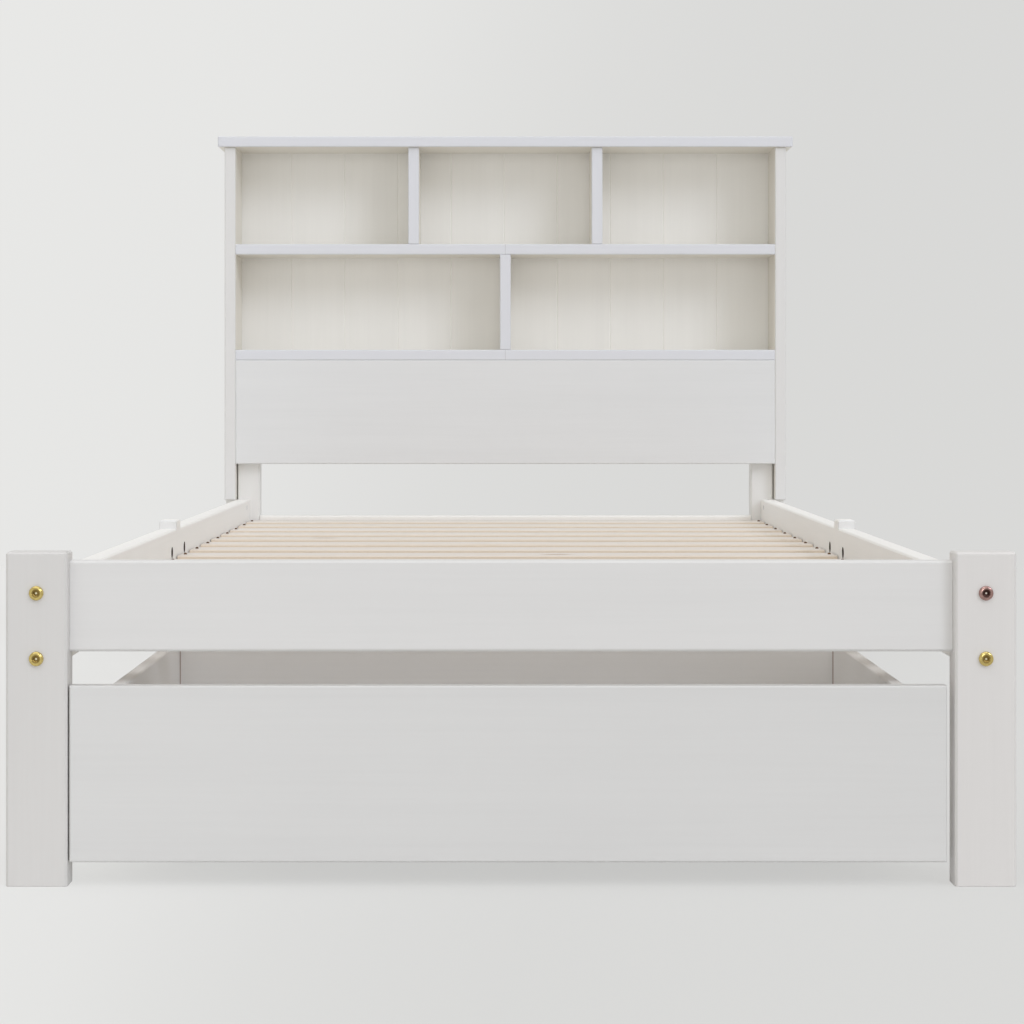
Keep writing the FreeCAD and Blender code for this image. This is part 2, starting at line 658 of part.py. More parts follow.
def castor_bracket(point):
    """Pressed fork: a plate under the bearer and two cheeks that taper to the axle's eye."""
    plate = board(
        (point.x - FORK_PLATE_WIDTH / 2, point.x + FORK_PLATE_WIDTH / 2),
        (point.y - FORK_PLATE_LENGTH / 2, point.y + FORK_PLATE_LENGTH / 2),
        (FORK_PLATE_Z, FORK_PLATE_Z + FORK_THICKNESS),
    )
    plate = ease(plate, EASED_EDGE, runs_along(Z_AXIS))
    bracket = plate
    for side in SIDES.values():
        x = point.x + (FORK_INNER_HALF if side > 0 else -FORK_OUTER_HALF)
        bracket = bracket.fuse(fork_cheek(x, point))
    bore = FreeCAD.Vector(point.x - FORK_OUTER_HALF, point.y, point.z)
    bracket = bracket.cut(hidden_round(AXLE_BORE, bore, X_AXIS, 2 * FORK_OUTER_HALF))
    return bracket.removeSplitter()


def fork_cheek(x, point):
    """One cheek: flanks that taper from the plate's width to an eye with two bevels below."""
    half = FORK_PLATE_LENGTH / 2 - EASED_EDGE
    bevel = FORK_EYE_RADIUS / 2
    outline = [
        (-half, FORK_PLATE_Z - point.z), (-FORK_EYE_RADIUS, -bevel), (-bevel, -FORK_EYE_RADIUS),
        (bevel, -FORK_EYE_RADIUS), (FORK_EYE_RADIUS, -bevel), (half, FORK_PLATE_Z - point.z),
    ]
    points = [FreeCAD.Vector(x, point.y + y, point.z + z) for y, z in outline + outline[:1]]
    return Part.Face(Part.makePolygon(points)).extrude(X_AXIS * FORK_THICKNESS)


def castor_wheel(point):
    """Moulded wheel, bored for its axle."""
    start = point - X_AXIS * (WHEEL_WIDTH / 2)
    wheel = rod(WHEEL_RADIUS, start, X_AXIS, WHEEL_WIDTH)
    return wheel.cut(rod(AXLE_BORE, start, X_AXIS, WHEEL_WIDTH))


def castor_axle(point):
    """Pin pressed through both cheeks, on which the wheel turns."""
    half = FORK_OUTER_HALF + AXLE_END_PROUD
    return rod(AXLE_RADIUS, point - X_AXIS * half, X_AXIS, 2 * half)


# ---- Fasteners ----

def turned(profile, start, axis):
    """Solid turned about an axis from the (radius, distance along the axis) corners of its outline."""
    points = [FreeCAD.Vector(radius, 0, along) for radius, along in profile + profile[:1]]
    solid = Part.Face(Part.makePolygon(points)).revolve(FreeCAD.Vector(), Z_AXIS)
    solid.Placement = FreeCAD.Placement(start, FreeCAD.Rotation(Z_AXIS, axis))
    return solid


def rail_bolt(point, inward):
    """Button-head bolt with a hexagon socket, seated on a leg's outer face."""
    profile = [
        (0, -BOLT_HEAD_HEIGHT), (BOLT_CROWN_RADIUS, -BOLT_HEAD_HEIGHT),
        (BOLT_HEAD_RADIUS, -BOLT_HEAD_EDGE), (BOLT_HEAD_RADIUS, 0), (0, 0),
    ]
    shank = prism(2 * BOLT_RADIUS, HIDDEN_ROUND_FLATS, point, inward, BOLT_LENGTH)
    bolt = turned(profile, point, inward).fuse(shank)
    mouth = point - inward * BOLT_HEAD_HEIGHT
    corners = BOLT_SOCKET_FLATS / math.cos(math.pi / BOLT_SOCKET_SIDES)
    return bolt.cut(prism(corners, BOLT_SOCKET_SIDES, mouth, inward, BOLT_SOCKET_DEPTH))


def rail_bolts():
    """Eight bolts: through the foot legs from the foot, and through the head legs from behind."""
    foot = [rail_bolt(point, Y_AXIS) for point in end_bolt_points(FOOT_FACE_Y)]
    head = [rail_bolt(point, -Y_AXIS) for point in end_bolt_points(POST_BACK_Y)]
    return Part.makeCompound(foot + head)


def cross_dowels():
    """Barrel nuts across the side rails, one round each bolt's end."""
    nuts = []
    for end, plane in ((-1, FOOT_BACK_Y), (1, POST_FRONT_Y)):
        for point in end_bolt_points(plane - end * CROSS_DOWEL_REACH):
            side = math.copysign(1, point.x)
            start = FreeCAD.Vector(side * INNER_X, point.y, point.z)
            nut = hidden_round(CROSS_DOWEL_RADIUS, start, X_AXIS * side, CROSS_DOWEL_LENGTH)
            nuts.append(nut.cut(thread_bore(point, 2 * CROSS_DOWEL_RADIUS)))
    return Part.makeCompound(nuts)


def thread_bore(centre, reach):
    """Threaded hole along Y through a nut, reaching past it each way."""
    start = centre - Y_AXIS * reach
    return hidden_round(BOLT_RADIUS + THREAD_CLEARANCE, start, Y_AXIS, 2 * reach)


def mid_leg_rods():
    """Threaded rod through each middle leg into both halves of its rail."""
    reach = MID_LEG_LENGTH / 2 + ROD_REACH + ROD_END
    rods = []
    for side in SIDES.values():
        start = FreeCAD.Vector(side * RAIL_X, MID_LEG_Y - reach, ROD_HEIGHT)
        rods.append(prism(2 * BOLT_RADIUS, HIDDEN_ROUND_FLATS, start, Y_AXIS, 2 * reach))
    return Part.makeCompound(rods)


def half_moon_nuts():
    """Half-round nuts in the rails' pockets, drawn against the pocket wall near the middle leg."""
    nuts = []
    radius = POCKET_RADIUS - HALF_NUT_CLEARANCE
    for side in SIDES.values():
        for end in (-1, 1):
            y = MID_LEG_Y + end * (MID_LEG_LENGTH / 2 + ROD_REACH)
            centre = FreeCAD.Vector(side * RAIL_X, y, ROD_HEIGHT)
            start = centre - X_AXIS * (HALF_NUT_LENGTH / 2)
            nut = rod(radius, start, X_AXIS, HALF_NUT_LENGTH)
            waste = board(
                (start.x, start.x + HALF_NUT_LENGTH),
                (y, y + end * POCKET_RADIUS),
                (ROD_HEIGHT - POCKET_RADIUS, ROD_HEIGHT + POCKET_RADIUS),
            )
            nuts.append(nut.cut(waste).cut(thread_bore(centre, POCKET_RADIUS)))
    return Part.makeCompound(nuts)


# ---- All nodes ----

def build():
    """Every piece of the bed by name."""
    nodes = {
        "foot_rail": end_rail(FOOT_RAIL_Y, FOOT_RAIL_TOP),
        "head_rail": end_rail(HEAD_RAIL_Y, HEAD_RAIL_TOP),
        "top_cap": top_cap(),
        "middle_shelf": middle_shelf(),
        "bottom_shelf": bottom_shelf(),
        "lower_panel": lower_panel(),
        "lower_divider": divider(0, BOTTOM_SHELF_Z + BOARD_THICKNESS, MIDDLE_SHELF_Z),
        "back_boards": back_boards(),
        "drawer_front": drawer_front(),
        "drawer_back": drawer_back(),
        "drawer_floor": drawer_floor(),
        "drawer_bearers": drawer_bearers(),
        "rail_bolts": rail_bolts(),
        "cross_dowels": cross_dowels(),
        "mid_leg_rods": mid_leg_rods(),
        "half_moon_nuts": half_moon_nuts(),
    }
    for name, side in SIDES.items():
        nodes["foot_leg_" + name] = foot_leg(side)
        nodes["head_leg_" + name] = head_leg(side)
        nodes["mid_leg_" + name] = mid_leg(side)
        nodes["side_rail_foot_" + name] = side_rail(side, -1)
        nodes["side_rail_head_" + name] = side_rail(side, 1)
        nodes["slat_ledger_" + name] = slat_ledger(side)
        nodes["side_board_" + name] = side_board(side)
        nodes["drawer_side_" + name] = drawer_side(side)
    for name, x in upper_divider_places().items():
        nodes["upper_divider_" + name] = divider(x, MIDDLE_SHELF_Z + BOARD_THICKNESS, CAP_Z)
    for index, y in enumerate(slat_centres(), start=1):
        nodes["slat_%02d" % index] = slat(y)
    points = castor_points()
    for name, point in points.items():
        nodes["castor_wheel_" + name] = castor_wheel(point)
    nodes["castor_brackets"] = Part.makeCompound([castor_bracket(point) for point in points.values()])
    nodes["castor_axles"] = Part.makeCompound([castor_axle(point) for point in points.values()])
    return nodes


os.makedirs("parts", exist_ok=True)
for node, solid in build().items():
    solid.exportStep("parts/" + node + ".step")
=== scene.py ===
import math

import bpy
from mathutils import Matrix, Vector


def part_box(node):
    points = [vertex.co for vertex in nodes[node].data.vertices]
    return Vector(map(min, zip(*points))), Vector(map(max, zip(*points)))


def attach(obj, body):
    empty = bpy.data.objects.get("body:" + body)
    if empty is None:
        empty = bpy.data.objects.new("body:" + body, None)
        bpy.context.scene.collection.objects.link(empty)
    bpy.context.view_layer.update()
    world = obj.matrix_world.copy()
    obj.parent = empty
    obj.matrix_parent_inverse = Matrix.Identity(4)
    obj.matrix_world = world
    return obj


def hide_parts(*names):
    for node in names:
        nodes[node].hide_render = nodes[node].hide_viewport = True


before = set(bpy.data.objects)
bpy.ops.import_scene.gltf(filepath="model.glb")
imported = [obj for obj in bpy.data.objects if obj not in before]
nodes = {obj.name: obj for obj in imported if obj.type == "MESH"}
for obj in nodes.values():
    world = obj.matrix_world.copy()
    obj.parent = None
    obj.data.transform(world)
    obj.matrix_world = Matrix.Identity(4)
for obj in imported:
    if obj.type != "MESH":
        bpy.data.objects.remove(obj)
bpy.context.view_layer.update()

bpy.ops.object.select_all(action="DESELECT")


# ---- Legs at the foot ----
# Two posts of planed pine with eased edges, sprayed satin white.
# The grain runs up each post and only just shows through the paint.

ACROSS, LENGTHWAYS, UP = range(3)
# The left leg's white is darker than the right's: painted shade, as less light falls on the left
# leg.
LEFT_LEG_SHADED_WHITE = (0.70, 0.684, 0.668)
RIGHT_LEG_WHITE = (0.757, 0.735, 0.718)
PLANED_EDGE_RADIUS = 0.0022
LOW_SPOT_TINT = 0.955
WORN_TINT = (0.93, 0.90, 0.84)
WORN_COVER = 0.55
FIGURE_SHARE = 0.45
FIBRE_SHARE = 0.3
CLOUD_SHARE = 0.25
PAINT_ROUGHNESS = 0.36
BEVEL_SAMPLES = 6


class Shade:
    """A value or colour inside a material, with sums on it written as sums."""

    def __init__(self, tree, socket=None):
        self.tree = tree
        self.socket = socket

    def node(self, kind, settings, sockets, output=0):
        """Adds a node, sets it up, feeds its sockets and gives back one of its outputs."""
        made = self.tree.nodes.new("ShaderNode" + kind)
        for name, setting in settings.items():
            if name == "stops":
                self.set_stops(made.color_ramp, setting)
            else:
                setattr(made, name, setting)
        for name, value in sockets.items():
            if isinstance(value, Shade):
                self.tree.links.new(value.socket, made.inputs[name])
            else:
                made.inputs[name].default_value = value
        return Shade(self.tree, made.outputs[output] if made.outputs else None)

    def set_stops(self, ramp, stops):
        """Fills a ramp from (position, colour) pairs in rising order."""
        first, last = ramp.elements[0], ramp.elements[1]
        first.position, first.color = stops[0]
        last.position, last.color = stops[-1]
        for position, colour in stops[1:-1]:
            ramp.elements.new(position).color = colour

    def sum(self, operation, first, second):
        """A Math node on two values."""
        return self.node("Math", {"operation": operation}, {0: first, 1: second})

    def __add__(self, other):
        return self.sum("ADD", self, other)

    def __radd__(self, other):
        return self.sum("ADD", other, self)

    def __sub__(self, other):
        return self.sum("SUBTRACT", self, other)

    def __rsub__(self, other):
        return self.sum("SUBTRACT", other, self)

    def __mul__(self, other):
        return self.sum("MULTIPLY", self, other)

    def __rmul__(self, other):
        return self.sum("MULTIPLY", other, self)

    def __truediv__(self, other):
        return self.sum("DIVIDE", self, other)

    def away_from(self, centre):
        """How far this number lies from a centre, either way."""
        return self.sum("ABSOLUTE", self - centre, 0)

    def span(self, low, high):
        """0 below low, 1 above high and a straight slope between."""
        sockets = {"Value": self, "From Min": low, "From Max": high}
        return self.node("MapRange", {"clamp": True}, sockets)

    def along(self, axis):
        """This vector's part along one axis of the bed."""
        return self.node("SeparateXYZ", {}, {"Vector": self}, axis)

    def vector_sum(self, operation, other, output=0):
        """A Vector Math node on this vector and another."""
        return self.node("VectorMath", {"operation": operation}, {0: self, 1: other}, output)

    def mix(self, first, second):
        """The colour that lies this far from the first to the second."""
        return self.node("Mix", {"data_type": "RGBA"}, {0: self, 6: first, 7: second}, 2)

    def stretched(self, scale):
        """This place with its pattern packed by a factor along each axis."""
        return self.node("Mapping", {}, {"Vector": self, "Scale": scale})

    def noise(self, scale, detail=2.0):
        """Soft noise from 0 to 1 at this place."""
        return self.node("TexNoise", {}, {"Vector": self, "Scale": scale, "Detail": detail})

    def bump(self, strength, depth, under):
        """A normal raised by this height over the normal under it."""
        sockets = {"Strength": strength, "Distance": depth, "Height": self, "Normal": under}
        return self.node("Bump", {}, sockets)


def opaque(colour):
    """A colour with nothing showing through it."""
    return (*colour, 1.0)


def new_finish(name):
    """An empty material and the place on the piece in metres."""
    material = bpy.data.materials.new(name)
    material.use_nodes = True
    material.node_tree.nodes.clear()
    start = Shade(material.node_tree)
    return material, start.node("TexCoord", {}, {}, "Object")


def close_finish(material, sockets):
    """Ends a material with its surface shader."""
    start = Shade(material.node_tree)
    surface = start.node("BsdfPrincipled", {}, sockets)
    start.node("OutputMaterial", {}, {"Surface": surface})
    return material


def softened(place, radius):
    """The surface's normal, turned gently round its sharp edges."""
    return place.node("Bevel", {"samples": BEVEL_SAMPLES}, {"Radius": radius})


def sharp_edges(soft):
    """1 along the edges that the softened normal turns round, and 0 on the flat."""
    flat = soft.node("NewGeometry", {}, {}, "Normal")
    return (1 - soft.vector_sum("DOT_PRODUCT", flat, "Value")).span(0.01, 0.22)


def grained(place, grain, across, lengthways, detail):
    """Noise drawn out along the grain, with a scale across it and another along it."""
    scale = [across, across, across]
    scale[grain] = lengthways
    return place.stretched(scale).noise(1.0, detail)


def painted(name, colour, grain, marks=(), edge_radius=PLANED_EDGE_RADIUS):
    """Satin paint on planed pine, worn a little along its edges. The grain runs along one
    axis of the bed, and each mark is a function that makes a mask from the place, with the
    colour that it brings."""
    material, place = new_finish(name)
    soft = softened(place, edge_radius)
    fibre = grained(place, grain, across=230.0, lengthways=5.0, detail=4.0)
    figure = grained(place, grain, across=26.0, lengthways=1.3, detail=3.0)
    spray = place.noise(scale=620.0)
    cloud = place.noise(scale=3.5, detail=3.0)
    low_spots = (
        FIGURE_SHARE * figure.span(0.35, 0.7)
        + FIBRE_SHARE * fibre.span(0.4, 0.75)
        + CLOUD_SHARE * cloud.span(0.3, 0.7)
    )
    body = low_spots.mix(opaque(colour), opaque(part * LOW_SPOT_TINT for part in colour))
    for mask, mark_colour in marks:
        body = mask(place).mix(body, opaque(mark_colour))
    worn = opaque(part * tint for part, tint in zip(colour, WORN_TINT))
    scuff = sharp_edges(soft) * place.noise(scale=90.0, detail=3.0).span(0.46, 0.66)
    relief = fibre.bump(strength=0.16, depth=0.0005, under=soft)
    return close_finish(material, {
        "Base Color": (scuff * WORN_COVER).mix(body, worn),
        "Roughness": PAINT_ROUGHNESS + 0.1 * cloud + 0.08 * fibre,
        "Normal": spray.bump(strength=0.10, depth=0.00015, under=relief),
    })


def dress(names, material):
    """Gives CAD pieces their finish."""
    for name in names:
        piece = nodes[name]
        piece.data.materials.clear()
        piece.data.materials.append(material)


dress(["foot_leg_left"], painted("left_leg_shaded_paint", LEFT_LEG_SHADED_WHITE, UP))
dress(["foot_leg_right"], painted("right_leg_paint", RIGHT_LEG_WHITE, UP))


# ---- Foot rail ----
# A board set on edge between the two foot legs and tenoned into them, in the same satin white.
# It is the last edge that the mattress meets.

FOOT_RAIL_WHITE = (0.758, 0.748, 0.738)
dress(["foot_rail"], painted("foot_rail_paint", FOOT_RAIL_WHITE, ACROSS))


# ---- Side rails and middle legs ----
# Each side rail is made in two halves, which meet at a middle leg and are drawn tight to it
# by a threaded rod and two half-moon nuts in round pockets on the inner face.

SIDES = ("left", "right")
# The rails' white is lighter than the other whites: painted light that lifts the rails' inner
# faces, which lie in the bed's shade.
RAIL_LIT_WHITE = (0.945, 0.928, 0.90)
# The middle legs' fronts take a darker white than their sides: painted shade on the faces towards
# the foot.
MID_LEG_SHADED_FRONT = (0.80, 0.80, 0.795)
# The pocket walls are bare wood darkened to near black: painted shade deep in the pockets.
BARE_SHADED_POCKET = (0.055, 0.036, 0.026)
POCKET_DEPTH = 0.022
POCKET_FADE = (0.0005, 0.0008)
POCKET_FLOOR_FADE = 0.001
FACING_FADE = (0.3, 0.6)
ZINC = (0.62, 0.63, 0.65)
DULL_ZINC = (0.42, 0.42, 0.43)
# The nuts' zinc is tarnished, and darkened further to near black: painted shade deep in their
# pockets.
OLD_SHADED_ZINC = (0.13, 0.09, 0.065)
BLACKENED_SHADED_ZINC = (0.06, 0.045, 0.035)
PLATED_EDGE_RADIUS = 0.0006


def middle(node):
    """Middle of a CAD piece's box."""
    low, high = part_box(node)
    return (Vector(low) + Vector(high)) / 2


def distance(first, second):
    """Length of the line that has these two parts at right angles."""
    return first.sum("POWER", first * first + second * second, 0.5)


nuts = middle("half_moon_nuts")
nuts_low, nuts_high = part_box("half_moon_nuts")
pocket_radius = (nuts_high[2] - nuts_low[2]) / 2
pocket_y = nuts_high[1] - nuts.y
rail_inner_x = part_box("side_rail_foot_right")[0][0]


def pocket_wall(place):
    """1 on the walls of the round pockets that were bored for the half-moon nuts."""
    beside = place.along(LENGTHWAYS).away_from(nuts.y).away_from(pocket_y)
    above = place.along(UP) - nuts.z
    start, end = POCKET_FADE
    bored = 1 - distance(beside, above).span(pocket_radius + start, pocket_radius + end)
    floor_x = rail_inner_x + POCKET_DEPTH
    beyond = place.along(ACROSS).away_from(0).span(floor_x, floor_x + POCKET_FLOOR_FADE)
    return bored * (1 - beyond)


def facing(place, axis):
    """How squarely the surface looks along an axis: 1 along it and -1 the other way."""
    return place.node("TexCoord", {}, {}, "Normal").along(axis)


def front_edge(place):
    """1 on what looks towards the foot."""
    return (0 - facing(place, LENGTHWAYS)).span(*FACING_FADE)


# The rails' paint also carries the pockets' painted shade.
rail_lit_and_shaded_paint = painted("side_rail_paint", RAIL_LIT_WHITE, LENGTHWAYS, [(pocket_wall, BARE_SHADED_POCKET)])
# The middle legs take the rails' lighter white on their sides and a darker one on their fronts:
# lit and shaded copies of one paint.
mid_leg_lit_and_shaded_paint = painted("mid_leg_lit_and_shaded_paint", RAIL_LIT_WHITE, UP, [(front_edge, MID_LEG_SHADED_FRONT)])
dress(["side_rail_%s_%s" % (end, side) for end in ("foot", "head") for side in SIDES], rail_lit_and_shaded_paint)
dress(["mid_leg_" + side for side in SIDES], mid_leg_lit_and_shaded_paint)


def plated(name, colour, tarnish, roughness):
    """Plated steel: a thin coloured plate, tarnished in patches."""
    material, place = new_finish(name)
    patch = place.noise(scale=420.0, detail=3.0).span(0.42, 0.7)
    soft = softened(place, PLATED_EDGE_RADIUS)
    return close_finish(material, {
        "Base Color": patch.mix(opaque(colour), opaque(tarnish)),
        "Metallic": 1.0,
        "Roughness": roughness + 0.14 * patch,
        "Normal": place.noise(scale=1500.0).bump(strength=0.08, depth=0.0001, under=soft),
    })


bright_zinc = plated("bright_zinc", ZINC, DULL_ZINC, roughness=0.34)
# The nuts' dark plate is partly tarnish and partly painted shade in the pockets.
tarnished_shaded_zinc = plated("tarnished_shaded_zinc", OLD_SHADED_ZINC, BLACKENED_SHADED_ZINC, roughness=0.5)
dress(["mid_leg_rods", "cross_dowels"], bright_zinc)
dress(["half_moon_nuts"], tarnished_shaded_zinc)


# ---- Slat ledgers ----
# Square battens glued along the inner faces of the side rails, painted with them.
# The slats' ends lie on them.

# The ledgers take the rails' lighter white, which is painted light.
dress(["slat_ledger_" + side for side in SIDES], rail_lit_and_shaded_paint)


# ---- Head legs and head rail ----
# Posts that stand up behind the lower panel and carry the bookcase, with a rail between them.
# Planed pine in the same white.

HEAD_LEG_WHITE = (0.85, 0.845, 0.83)
dress(["head_leg_" + side for side in SIDES], painted("head_leg_paint", HEAD_LEG_WHITE, UP))
# The head rail takes the rails' lighter white, which is painted light.
dress(["head_rail"], painted("head_rail_paint", RAIL_LIT_WHITE, ACROSS))


# ---- Slats ----
# Planed pine boards with eased edges, left bare, with their grain across the bed.
# No two have quite the same colour.

SLATS = ["slat_%02d" % number for number in range(1, 16)]
PALE_WOOD = (0.78, 0.737, 0.70)
DEEP_WOOD = (0.75, 0.70, 0.645)
LATE_WOOD = (0.71, 0.58, 0.43)
LATE_WOOD_SHARE = 0.38
PINE_FIBRE_SHARE = 0.14
# The slats' sides are browner than their tops: partly the sawn wood, partly painted shade in the
# gaps between slats.
SAWN_SHADED_SIDE = (0.78, 0.66, 0.53)
KNOT_BROWN = (0.33, 0.19, 0.10)
KNOT_COVER = 0.75
RING_COUNT = 9.0
RING_BEND = 3.0
BOARD_SHIFT = (7.0, 0.4)
KNOTS_PER_METRE = (3.0, 11.0, 11.0)
PINE_ROUGHNESS = 0.62
SLAT_EDGE_RADIUS = 0.0016


def bare_pine(first, pitch):
    """Pale pine: growth rings drawn out across the bed, fine fibres, pin knots and a tone of
    its own for each slat. The slats lie at an even pitch, from the first one's place on."""
    material, place = new_finish("bare_pine")
    row = (place.along(LENGTHWAYS) - first) / pitch
    number = row.sum("ROUND", row, 0)
    tone = number.node("TexWhiteNoise", {"noise_dimensions": "1D"}, {"W": number})
    sockets = {0: tone * BOARD_SHIFT[0], 1: number * BOARD_SHIFT[1], 2: tone}
    own_place = place.vector_sum("ADD", number.node("CombineXYZ", {}, sockets))
    bend = own_place.noise(scale=2.2)
    rings = grained(own_place, ACROSS, across=62.0, lengthways=1.6, detail=3.0)
    ripple = rings * RING_COUNT + bend * RING_BEND
    streak = ripple.sum("PINGPONG", ripple, 1.0)
    fibre = grained(own_place, ACROSS, across=520.0, lengthways=14.0, detail=3.0)
    knot_place = own_place.stretched(KNOTS_PER_METRE)
    knots = knot_place.node("TexVoronoi", {}, {"Vector": knot_place, "Scale": 1.0})
    dark = streak.span(0.55, 1.0) * LATE_WOOD_SHARE + fibre.span(0.5, 0.8) * PINE_FIBRE_SHARE
    wood = dark.mix(tone.mix(opaque(PALE_WOOD), opaque(DEEP_WOOD)), opaque(LATE_WOOD))
    edge = facing(place, LENGTHWAYS).away_from(0).span(0.5, 0.9)
    knot_cover = (1 - knots.span(0.045, 0.10)) * KNOT_COVER
    relief = fibre * 0.6 + streak * 0.4
    soft = softened(place, SLAT_EDGE_RADIUS)
    return close_finish(material, {
        "Base Color": knot_cover.mix(edge.mix(wood, opaque(SAWN_SHADED_SIDE)), opaque(KNOT_BROWN)),
        "Roughness": PINE_ROUGHNESS + 0.12 * fibre,
        "Normal": relief.bump(strength=0.22, depth=0.0005, under=soft),
    })


first_slat_y = middle(SLATS[0]).y
slat_pitch = middle(SLATS[1]).y - first_slat_y
dress(SLATS, bare_pine(first_slat_y, slat_pitch))


# ---- Bookcase ----
# Sides, shelves, dividers, lower panel and cap of one thickness of board, housed into one another.
# They are sprayed one white, painted creamier on the inner faces as warm painted shade, paler on
# the outer sides and the cap's top, and cooler on the panel and the front edges, as painted light.
# The front edges are made up of two lengths on the shelves.

CASE_SHADED_CREAM = (0.835, 0.805, 0.74)
CASE_LIT_OUTSIDE = (0.86, 0.845, 0.81)
CASE_LIT_LIPPING = (0.742, 0.751, 0.792)
SIDE_LIT_LIPPING = (0.775, 0.768, 0.76)
LIPPING_SEAM = (0.62, 0.62, 0.645)
SEAM_FADE = (0.0004, 0.0010)
PANEL_LIT_WHITE = (0.788, 0.792, 0.795)
OUTSIDE_FADE = (-0.002, -0.001)
case_outer_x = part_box("side_board_right")[1][0]


def centre_seam(place):
    """1 on the seam between the two lengths of a front edge, at the middle."""
    return front_edge(place) * (1 - place.along(ACROSS).away_from(0).span(*SEAM_FADE))


def outer_side(place):
    """1 on the outer faces of the bookcase's two sides."""
    start, end = OUTSIDE_FADE
    return place.along(ACROSS).away_from(0).span(case_outer_x + start, case_outer_x + end)


def upper_face(place):
    """1 on what looks up."""
    return facing(place, UP).span(*FACING_FADE)


# Inner faces take the creamy white as painted shade; outer sides, the cap's top and the front
# edges take paler or cooler whites as painted light.
lipped = [(front_edge, CASE_LIT_LIPPING)]
seamed = lipped + [(centre_seam, LIPPING_SEAM)]
side_marks = [(outer_side, CASE_LIT_OUTSIDE), (front_edge, SIDE_LIT_LIPPING)]
cap_marks = [(upper_face, CASE_LIT_OUTSIDE)] + lipped
dress(["side_board_" + side for side in SIDES],
      painted("side_board_paint", CASE_SHADED_CREAM, UP, side_marks))
dress(["upper_divider_left", "upper_divider_right", "lower_divider"],
      painted("divider_paint", CASE_SHADED_CREAM, UP, lipped))
dress(["bottom_shelf", "middle_shelf"], painted("shelf_paint", CASE_SHADED_CREAM, ACROSS, seamed))
dress(["top_cap"], painted("cap_paint", CASE_SHADED_CREAM, ACROSS, cap_marks))
dress(["lower_panel"], painted("panel_paint", PANEL_LIT_WHITE, ACROSS))


# ---- Back boards ----
# Thin upright boards, tongued and grooved with a V joint on the face, let into a rebate behind.
# Their white is a pale cream, as warm painted shade in the bays, and lighter on the slopes of the
# V joints, as painted light that lifts the shade in the joints.

BACK_SHADED_CREAM = (0.92, 0.91, 0.88)
JOINT_LIT_CREAM = (0.98, 0.97, 0.94)
SLOPE_FADE = (0.3, 0.5)
THIN_EDGE_RADIUS = 0.0004


def joint_face(place):
    """1 on the slopes of the V joints."""
    return facing(place, ACROSS).away_from(0).span(*SLOPE_FADE)


joint_marks = [(joint_face, JOINT_LIT_CREAM)]
back_paint = painted("back_board_paint", BACK_SHADED_CREAM, UP, joint_marks, THIN_EDGE_RADIUS)
dress(["back_boards"], back_paint)


# ---- Rail bolts ----
# Eight button-head bolts with hexagon sockets, plated yellow.
# One at the foot has been replaced and is darker than the rest.

BOLT_HEAD_RADIUS = 0.0085
BOLT_HEAD_HEIGHT = 0.0038
BOLT_CROWN = 0.0030
BOLT_SHANK_RADIUS = 0.003
BOLT_LENGTH = 0.088
BOLT_EDGE_RADIUS = 0.0004
SOCKET_FLATS = 0.005
SOCKET_DEPTH = 0.0026
DARK_REFLECTION_FADE = (0.0042, 0.0056)
PIT_FADE = (0.0007, 0.0014)
# Each plate's dark ring round the socket is painted dark reflection.
YELLOW_PLATE = {"rim": (0.68, 0.54, 0.20), "dark_reflection": (0.25, 0.17, 0.05), "pit": (0.92, 0.86, 0.62)}
COPPER_PLATE = {"rim": (0.46, 0.29, 0.26), "dark_reflection": (0.06, 0.03, 0.025), "pit": (0.85, 0.76, 0.68)}
REPLACED_BOLT = "rail_bolt_07"
SMOOTH_ANGLE = math.radians(35)
MERGE_DISTANCE = 0.000001
STRAIGHT = 0.9


def finish_edit():
    """Leaves edit mode with one closed skin whose faces point outwards."""
    bpy.ops.mesh.select_all(action="SELECT")
    bpy.ops.mesh.remove_doubles(threshold=MERGE_DISTANCE)
    bpy.ops.mesh.normals_make_consistent(inside=False)
    bpy.ops.object.mode_set(mode="OBJECT")
    bpy.ops.object.shade_smooth_by_angle(angle=SMOOTH_ANGLE)
    bpy.ops.object.select_all(action="DESELECT")


def select_faces(shape, wanted):
    """In edit mode, selects the faces that pass the test on their middle and normal."""
    bpy.ops.mesh.select_mode(type="FACE")
    bpy.ops.mesh.select_all(action="DESELECT")
    bpy.ops.object.mode_set(mode="OBJECT")
    for face in shape.data.polygons:
        face.select = wanted(face.center, face.normal)
    bpy.ops.object.mode_set(mode="EDIT")


def turned_rod(name, radius, length, sides):
    """A rod from the origin along +Y, in edit mode."""
    bpy.ops.mesh.primitive_cylinder_add(
        vertices=sides, radius=radius, depth=length,
        location=(0, length / 2, 0), rotation=(math.pi / 2, 0, 0),
    )
    shape = bpy.context.object
    shape.name = name
    bpy.ops.object.transform_apply(location=True, rotation=True, scale=True)
    bpy.ops.object.mode_set(mode="EDIT")
    return shape


def slide_back(depth):
    """In edit mode, moves all that is selected by a depth towards -Y."""
    bpy.ops.transform.translate(value=(0, -depth, 0))


def carve(shape, cutter):
    """Cuts one shape out of another and deletes the cutter."""
    cut = shape.modifiers.new("cut", "BOOLEAN")
    cut.object = cutter
    cut.solver = "EXACT"
    bpy.context.view_layer.objects.active = shape
    bpy.ops.object.modifier_apply(modifier=cut.name)
    bpy.data.objects.remove(cutter)


